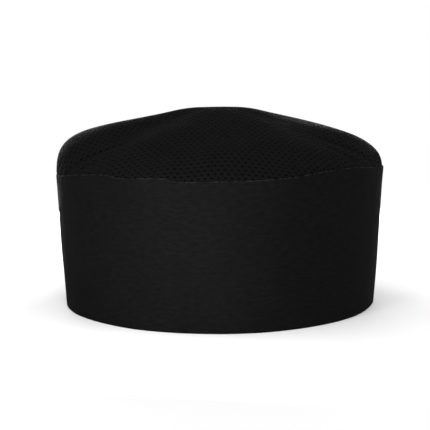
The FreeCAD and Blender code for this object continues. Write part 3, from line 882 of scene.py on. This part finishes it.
def make_label():
    """A strip of satin folded double, which hangs from the binding along the wall's slant."""
    low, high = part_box("care_label")
    top, foot = high.z, low.z
    hinge_y = joints["label_flip"]["pos_m"][1]
    slant = (RIM_RADIUS - HEM_RADIUS) / HEIGHT
    drop = top - foot
    turn = np.linspace(0, pi, 9)[1:-1]
    fold_top = drop - LABEL_FOLD
    down = np.linspace(0, fold_top, 30)
    course = [(0.0, at) for at in down]
    course += [(LABEL_FOLD * (1 - np.cos(a)), fold_top + LABEL_FOLD * np.sin(a)) for a in turn]
    course += [(LABEL_FOLD * 2, at) for at in down[::-1]]
    across = np.linspace(low.x, high.x, 24)
    inward, fallen = np.array(course).T[:, :, None]
    x, fallen = np.broadcast_arrays(across, fallen)
    free = smooth(fallen / drop)
    curl = (0.9 * free * (x / high.x) ** 2 + 0.5 * free * np.sin(fallen / drop * 4 + 0.5)) * MM
    y = hinge_y - fallen * slant - inward - curl
    points = np.stack([x, y, top - fallen], axis=-1).reshape(-1, 3)
    uv = np.stack([x, fallen + inward * 100], axis=-1).reshape(-1, 2)
    faces = grid_faces(len(course), len(across))
    label = thicken(build("label_satin_strip", points, faces, uv), SATIN)
    add_piece(label, "label_satin", "care_label", body="care_label")


# ---- Joining each piece to its body, its nodes and its material ----


def node_heights(node):
    low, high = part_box(node)
    return low.z, high.z


def add_piece(piece, slot, node, body="hat"):
    """body is the body that the piece rides on, or "tab" for the tab's cloth, which is attached to no
    body and has its transform baked into its mesh.
    """
    if body == "tab":
        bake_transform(piece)
    else:
        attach(piece, body)
    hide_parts(node)
    piece.data.materials.clear()
    piece.data.materials.append(MATERIALS[slot])
    return piece


# ---- Materials -------------------------------------------------


class Cloth:
    """One procedural material, built node by node on the flat cloth coordinates."""

    def __init__(self, name, colour, roughness, specular, sheen=0.0):
        self.material = bpy.data.materials.new(name)
        self.material.use_nodes = True
        self.tree = self.material.node_tree
        self.shader = self.tree.nodes["Principled BSDF"]
        self.colour = colour
        self.fill(self.shader, {
            "Base Color": (*colour, 1), "Roughness": roughness, "Specular IOR Level": specular,
            "Sheen Weight": sheen, "Sheen Roughness": 0.4, "Sheen Tint": (1, 1, 1, 1),
        })
        self.bump_from = None
        uv = self.add("ShaderNodeUVMap", uv_map="cloth")
        split = self.add("ShaderNodeSeparateXYZ", [uv.outputs[0]])
        self.uv = uv.outputs[0]
        self.u, self.v = split.outputs[0], split.outputs[1]
        place = self.add("ShaderNodeTexCoord")
        self.place = place.outputs["Object"]

    def add(self, kind, inputs=(), **settings):
        made = self.tree.nodes.new(kind)
        for key, value in settings.items():
            setattr(made, key, value)
        for socket, value in zip(made.inputs, inputs):
            self.set(socket, value)
        return made

    def set(self, socket, value):
        if isinstance(value, bpy.types.NodeSocket):
            self.tree.links.new(value, socket)
        elif value is not None:
            socket.default_value = value

    def fill(self, node, values):
        for name, value in values.items():
            self.set(node.inputs[name], value)

    def maths(self, operation, *values):
        return self.add("ShaderNodeMath", values, operation=operation).outputs[0]

    def ribs(self, across, pitch, phase=None):
        """A row of round ribs, from 0 to 1, one every pitch along a coordinate."""
        turn = self.maths("MULTIPLY", across, 2 * pi / pitch)
        if phase is not None:
            turn = self.maths("ADD", turn, phase)
        wavy = self.maths("SINE", turn)
        return self.maths("MULTIPLY_ADD", wavy, 0.5, 0.5)

    def noise(self, size, detail=3.0, roughness=0.55, stretch=None):
        """Noise with features of the given size in metres, from 0 to 1."""
        scale = (1 / size,) * 3 if stretch is None else tuple(s / size for s in stretch)
        mapped = self.add("ShaderNodeMapping", vector_type="POINT")
        self.fill(mapped, {"Vector": self.uv if stretch else self.place, "Scale": scale})
        texture = self.add("ShaderNodeTexNoise")
        self.fill(texture, {
            "Vector": mapped.outputs[0], "Scale": 1.0, "Detail": detail, "Roughness": roughness,
        })
        return texture.outputs["Fac"]

    def shade(self, source, low, high):
        """Multiplies the base colour by a value that runs from low to high with a source."""
        factor = self.add("ShaderNodeMapRange", [source, 0.0, 1.0, low, high]).outputs[0]
        base = self.shader.inputs["Base Color"]
        before = base.links[0].from_socket if base.links else (*self.colour, 1)
        mix = self.add("ShaderNodeMix", data_type="RGBA", blend_type="MULTIPLY")
        self.set(mix.inputs["Factor"], 1.0)
        self.set(mix.inputs[6], before)
        grey = self.add("ShaderNodeCombineColor", [factor, factor, factor])
        self.set(mix.inputs[7], grey.outputs[0])
        self.tree.links.new(mix.outputs[2], base)

    def rough(self, source, low, high):
        spread = self.add("ShaderNodeMapRange", [source, 0.0, 1.0, low, high]).outputs[0]
        self.tree.links.new(spread, self.shader.inputs["Roughness"])

    def bump(self, height, depth, strength=1.0):
        """Adds relief of the given depth in metres from a height between 0 and 1."""
        bump = self.add("ShaderNodeBump")
        self.fill(bump, {"Strength": strength, "Distance": depth, "Height": height})
        self.set(bump.inputs["Normal"], self.bump_from)
        self.bump_from = bump.outputs[0]
        self.set(self.shader.inputs["Normal"], self.bump_from)


def black_twill():
    cloth = Cloth("black twill", (0.0051, 0.0051, 0.0051), 0.7, 0.003)
    diagonal = cloth.maths("ADD", cloth.u, cloth.v)
    counter = cloth.maths("SUBTRACT", cloth.u, cloth.v)
    ribs = cloth.ribs(diagonal, 0.85 * MM)
    yarns = cloth.ribs(counter, 0.62 * MM)
    weave = cloth.maths("MULTIPLY_ADD", yarns, 0.35, ribs)
    slubs = cloth.noise(0.6 * MM, 4.0, 0.6, stretch=(0.25, 1.0, 1.0))
    lint = cloth.noise(0.35 * MM, 2.0, 0.7)
    mottle = cloth.noise(1.6 * MM, 3.0, 0.6, stretch=(0.3, 1.0, 1.0))
    clouds = cloth.noise(28 * MM, 3.0, 0.5)
    # Painted highlight: a thin broken line on the rim's fold is made lighter, standing in for the
    # light that the fold's top catches.
    fold = cloth.add("ShaderNodeMapRange", [cloth.v, HEIGHT - 0.7 * MM, HEIGHT - 0.35 * MM])
    patchy = cloth.noise(2.4 * MM, 2.0, 0.6)
    patchy = cloth.add("ShaderNodeMapRange", [patchy, 0.42, 0.6]).outputs[0]
    painted_rim_highlight = cloth.maths("MULTIPLY", fold.outputs[0], patchy)
    cloth.shade(weave, 0.82, 1.14)
    cloth.shade(slubs, 0.7, 1.3)
    cloth.shade(mottle, 0.5, 1.5)
    cloth.shade(clouds, 0.86, 1.16)
    # the painted highlight on the rim's fold, up to 3.6 times lighter
    cloth.shade(painted_rim_highlight, 1.0, 3.6)
    cloth.rough(clouds, 0.64, 0.76)
    cloth.bump(clouds, 0.5 * MM, 0.35)
    cloth.bump(weave, 0.06 * MM, 0.8)
    cloth.bump(lint, 0.05 * MM, 0.6)
    return cloth.material


def black_net():
    cloth = Cloth("black net", (0.0066, 0.0066, 0.0066), 0.65, 0.003)
    wales = cloth.ribs(cloth.u, 0.58 * MM)
    courses = cloth.ribs(cloth.v, 0.5 * MM, cloth.maths("MULTIPLY", wales, 2.4))
    knit = cloth.maths("MULTIPLY", wales, cloth.maths("MULTIPLY_ADD", courses, 0.6, 0.4))
    fuzz = cloth.noise(0.4 * MM, 3.0, 0.65)
    clouds = cloth.noise(16 * MM, 3.0, 0.5)
    cloth.shade(knit, 0.72, 1.35)
    cloth.shade(fuzz, 0.8, 1.2)
    cloth.shade(clouds, 0.85, 1.15)
    cloth.rough(fuzz, 0.58, 0.74)
    cloth.bump(knit, 0.14 * MM, 0.9)
    cloth.bump(fuzz, 0.06 * MM, 0.5)
    return cloth.material


def non_woven():
    cloth = Cloth("pale non-woven", (0.62, 0.61, 0.58), 0.9, 0.2)
    fibres = cloth.noise(0.5 * MM, 5.0, 0.7, stretch=(0.2, 1.0, 1.0))
    dots = cloth.add("ShaderNodeTexVoronoi", feature="F1")
    cloth.fill(dots, {"Vector": cloth.uv, "Scale": 1 / (1.6 * MM)})
    cloth.shade(fibres, 0.88, 1.06)
    cloth.bump(fibres, 0.08 * MM)
    cloth.bump(dots.outputs["Distance"], 0.05 * MM, 0.5)
    return cloth.material


def black_terry():
    cloth = Cloth("black terry", (0.0105, 0.0105, 0.011), 0.95, 0.04, sheen=0.04)
    loops = cloth.add("ShaderNodeTexVoronoi", feature="SMOOTH_F1")
    cloth.fill(loops, {"Vector": cloth.place, "Scale": 1 / (0.9 * MM)})
    curls = cloth.noise(0.45 * MM, 3.0, 0.6)
    cloth.shade(loops.outputs["Distance"], 1.25, 0.6)
    cloth.shade(curls, 0.75, 1.25)
    cloth.bump(loops.outputs["Distance"], -0.35 * MM, 0.9)
    cloth.bump(curls, 0.15 * MM, 0.7)
    return cloth.material


def herringbone_tape():
    cloth = Cloth("black herringbone tape", (0.0085, 0.0085, 0.009), 0.6, 0.08, sheen=0.02)
    zigzag = cloth.maths("PINGPONG", cloth.v, 2.0 * MM)
    ribs = cloth.ribs(cloth.maths("ADD", cloth.u, zigzag), 0.7 * MM)
    fuzz = cloth.noise(0.3 * MM, 2.0, 0.6)
    cloth.shade(ribs, 0.75, 1.25)
    cloth.shade(fuzz, 0.85, 1.15)
    cloth.bump(ribs, 0.08 * MM, 0.9)
    cloth.bump(fuzz, 0.03 * MM, 0.6)
    return cloth.material


def looped_pile():
    cloth = Cloth("black looped pile", (0.0088, 0.0088, 0.0093), 0.55, 0.08, sheen=0.02)
    fuzz = cloth.noise(0.3 * MM, 4.0, 0.7)
    patches = cloth.noise(5 * MM, 2.0, 0.5)
    cloth.shade(fuzz, 0.65, 1.35)
    cloth.shade(patches, 0.85, 1.15)
    cloth.rough(patches, 0.48, 0.65)
    cloth.bump(fuzz, 0.12 * MM, 0.8)
    return cloth.material


def moulded_nylon():
    cloth = Cloth("black moulded nylon", (0.0095, 0.0095, 0.010), 0.36, 0.15)
    grain = cloth.noise(0.5 * MM, 3.0, 0.6)
    cloth.shade(grain, 0.85, 1.15)
    cloth.rough(grain, 0.3, 0.46)
    cloth.bump(grain, 0.02 * MM, 0.5)
    return cloth.material


def spun_thread():
    cloth = Cloth("black spun thread", (0.0145, 0.0145, 0.015), 0.5, 0.15, sheen=0.02)
    twist = cloth.ribs(cloth.maths("MULTIPLY_ADD", cloth.v, 1.4, cloth.u), 0.42 * MM)
    hairs = cloth.noise(0.15 * MM, 2.0, 0.6)
    cloth.shade(twist, 0.6, 1.3)
    cloth.shade(hairs, 0.85, 1.15)
    cloth.bump(twist, 0.06 * MM, 0.9)
    return cloth.material


def black_satin():
    cloth = Cloth("black satin", (0.011, 0.011, 0.0115), 0.34, 0.2)
    floats = cloth.ribs(cloth.v, 0.22 * MM)
    yarns = cloth.noise(0.5 * MM, 3.0, 0.6, stretch=(0.08, 1.0, 1.0))
    selvedge = cloth.maths("GREATER_THAN", cloth.maths("ABSOLUTE", cloth.u), 13.6 * MM)
    cloth.shade(yarns, 0.9, 1.05)
    cloth.shade(selvedge, 1.0, 0.9)
    cloth.rough(yarns, 0.26, 0.42)
    cloth.bump(floats, 0.02 * MM, 0.6)
    cloth.bump(yarns, 0.03 * MM, 0.6)
    return cloth.material


MATERIALS = {
    "band_cloth": black_twill(),
    "crown_mesh": black_net(),
    "stiffener": non_woven(),
    "sweatband_terry": black_terry(),
    "binding_tape": herringbone_tape(),
    "loop_tape": looped_pile(),
    "hook_tape": moulded_nylon(),
    "thread": spun_thread(),
    "label_satin": black_satin(),
}


# ---- Stage: pale floor, soft light and the camera --------------

CAMERA_AT = (0, -0.850, 0.184)
CAMERA_PITCH = 8.76
CAMERA_YAW = 0.11
CAMERA_ROLL = 0.43
CAMERA_LENS = 115.4
FLOOR_SIZE = 400
FLOOR_WHITE = 0.95
ROOM_LIGHT = 1.05
# azimuth, distance from the axis, width, height and power
LIGHTS = {
    "key": (256, 0.22, 0.06, 0.14, 0.23),
    "left": (165, 0.45, 0.25, 0.15, 0.21),
    "right": (15, 0.45, 0.25, 0.15, 0.34),
    "back_left": (115, 0.4, 0.15, 0.16, 1.1),
    "back_right": (72, 0.4, 0.15, 0.16, 0.75),
}


def make_floor():
    bpy.ops.mesh.primitive_plane_add(size=FLOOR_SIZE)
    floor = bpy.context.object
    floor.name = "floor"
    paper = Cloth("white paper", (FLOOR_WHITE,) * 3, roughness=1.0, specular=0.0)
    floor.data.materials.append(paper.material)


def make_light(name, azimuth, distance, width, height, power):
    """A soft strip light that stands on the floor and faces the cap's axis."""
    angle = radians(azimuth)
    away = Vector((np.cos(angle), np.sin(angle), 0))
    data = bpy.data.lights.new(name, "AREA")
    data.shape = "RECTANGLE"
    data.size, data.size_y = width, height
    data.energy = power
    light = bpy.data.objects.new(name, data)
    light.location = away * distance + Vector((0, 0, height / 2))
    light.rotation_euler = away.to_track_quat("Z", "Y").to_euler()
    light.visible_camera = False
    bpy.context.scene.collection.objects.link(light)


def make_stage():
    make_floor()
    for name, light in LIGHTS.items():
        make_light(name, *light)
    world = bpy.data.worlds.new("studio")
    world.use_nodes = True
    background = world.node_tree.nodes["Background"]
    background.inputs["Color"].default_value = (1, 1, 1, 1)
    background.inputs["Strength"].default_value = ROOM_LIGHT
    bpy.context.scene.world = world
    bpy.context.scene.view_settings.view_transform = "Standard"


def make_camera():
    data = bpy.data.cameras.new("camera")
    data.lens = CAMERA_LENS
    camera = bpy.data.objects.new("camera", data)
    camera.location = CAMERA_AT
    camera.rotation_euler = Euler(
        (radians(90 - CAMERA_PITCH), radians(CAMERA_ROLL), radians(CAMERA_YAW))
    )
    bpy.context.scene.collection.objects.link(camera)
    bpy.context.scene.camera = camera


make_outer_cloth()
make_plies()
make_crown()
make_binding()
make_sweatband()
make_tapes()
make_inner_rows()
make_closure_rows()
make_bartacks()
make_label()
make_stage()
make_camera()
